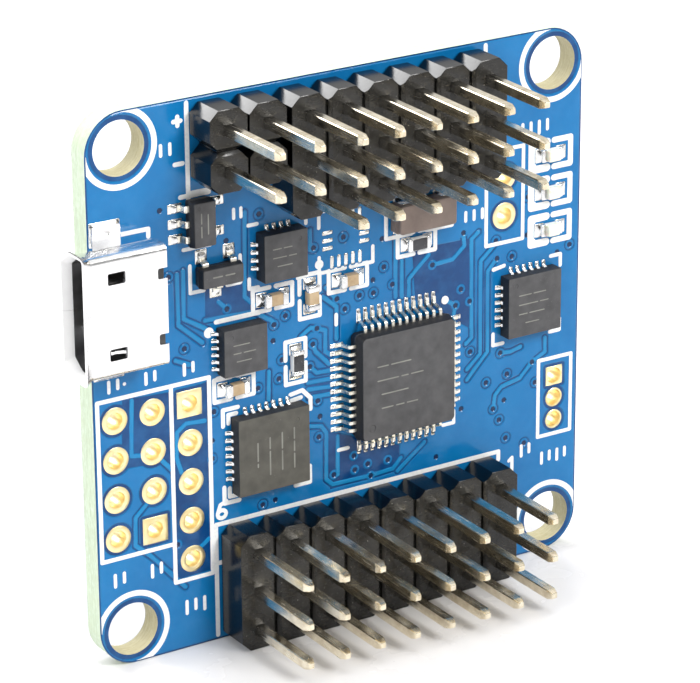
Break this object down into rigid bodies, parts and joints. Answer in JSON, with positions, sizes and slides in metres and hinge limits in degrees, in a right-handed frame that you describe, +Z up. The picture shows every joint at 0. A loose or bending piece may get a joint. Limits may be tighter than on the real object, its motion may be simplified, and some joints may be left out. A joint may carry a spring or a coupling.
{
  "type": "flight controller board",
  "caption": "Multirotor flight controller board with pin headers, a micro USB socket, a processor, motion sensors and a square of mounting holes.",
  "frame": {"origin": "centre of the square pattern of four mounting holes, on the rear face of the board", "axes": "the board stands on its lower edge: +Z up from the receiver header towards the output header, +X along the header rows away from the USB socket, and the component side faces -Y. In an aircraft the board lies flat with the -Y side up"},
  "size_m": [0.0368, 0.0115, 0.035],
  "materials": {
    "laminate": "woven glass laminate, satin cut edge",
    "solder_mask": "semi-gloss blue solder mask over copper",
    "gold_plating": "gold flash over nickel, bright",
    "tinned_copper": "tinned copper, bright",
    "header_plastic": "glass-filled black moulding, satin",
    "pin_metal": "thin gold flash over brass, drawn",
    "solder": "reflowed solder, bright",
    "socket_steel": "tin-plated stamped steel, bright",
    "socket_plastic": "black liquid-crystal polymer",
    "silicon": "polished silicon",
    "lead_metal": "tin-plated copper alloy",
    "resonator_ceramic": "unglazed brown ceramic",
    "capacitor_ceramic": "fired tan ceramic",
    "resistor_coat": "dark glass overcoat",
    "led_base": "white laminate",
    "led_resin": "clear casting resin",
    "moulding_epoxy": "dark grey mould compound, fine matt"
  },
  "bodies": {
    "root": {"battery_header_housing": "header_plastic", "battery_header_pins": "pin_metal", "battery_header_solder": "solder", "beeper_header_housing": "header_plastic", "beeper_header_pins": "pin_metal", "beeper_header_solder": "solder", "boot_pads": "gold_plating", "capacitor_bodies": "capacitor_ceramic", "capacitor_end_caps": "solder", "component_lands": "tinned_copper", "gyro_body": "moulding_epoxy", "gyro_die": "silicon", "gyro_terminals": "solder", "header_hole_plating": "gold_plating", "led_bases": "led_base", "led_end_caps": "solder", "led_lenses": "led_resin", "magnetometer_body": "moulding_epoxy", "magnetometer_die": "silicon", "magnetometer_terminals": "solder", "mcu_body": "moulding_epoxy", "mcu_die": "silicon", "mcu_die_paddle": "lead_metal", "mcu_leads": "lead_metal", "memory_chip_body": "moulding_epoxy", "memory_chip_die": "silicon", "memory_chip_terminals": "solder", "output_header_housing": "header_plastic", "output_header_pins": "pin_metal", "output_header_solder": "solder", "pcb_substrate": "laminate", "receiver_header_housing": "header_plastic", "receiver_header_pins": "pin_metal", "receiver_header_solder": "solder", "receiver_port_pads": "gold_plating", "regulator_body": "moulding_epoxy", "regulator_leads": "lead_metal", "resistor_bodies": "resistor_coat", "resistor_end_caps": "solder", "resonator_body": "resonator_ceramic", "resonator_terminals": "solder", "serial_port_pads": "gold_plating", "solder_mask_front": "solder_mask", "solder_mask_rear": "solder_mask", "spare_port_pads": "gold_plating", "transistor_body": "moulding_epoxy", "transistor_leads": "lead_metal", "unfitted_sensor_lands": "tinned_copper", "usb_bridge_body": "moulding_epoxy", "usb_bridge_die": "silicon", "usb_bridge_terminals": "solder", "usb_contacts": "gold_plating", "usb_flange_solder": "solder", "usb_insulator": "socket_plastic", "usb_shell": "socket_steel"}
  },
  "joints": []
}
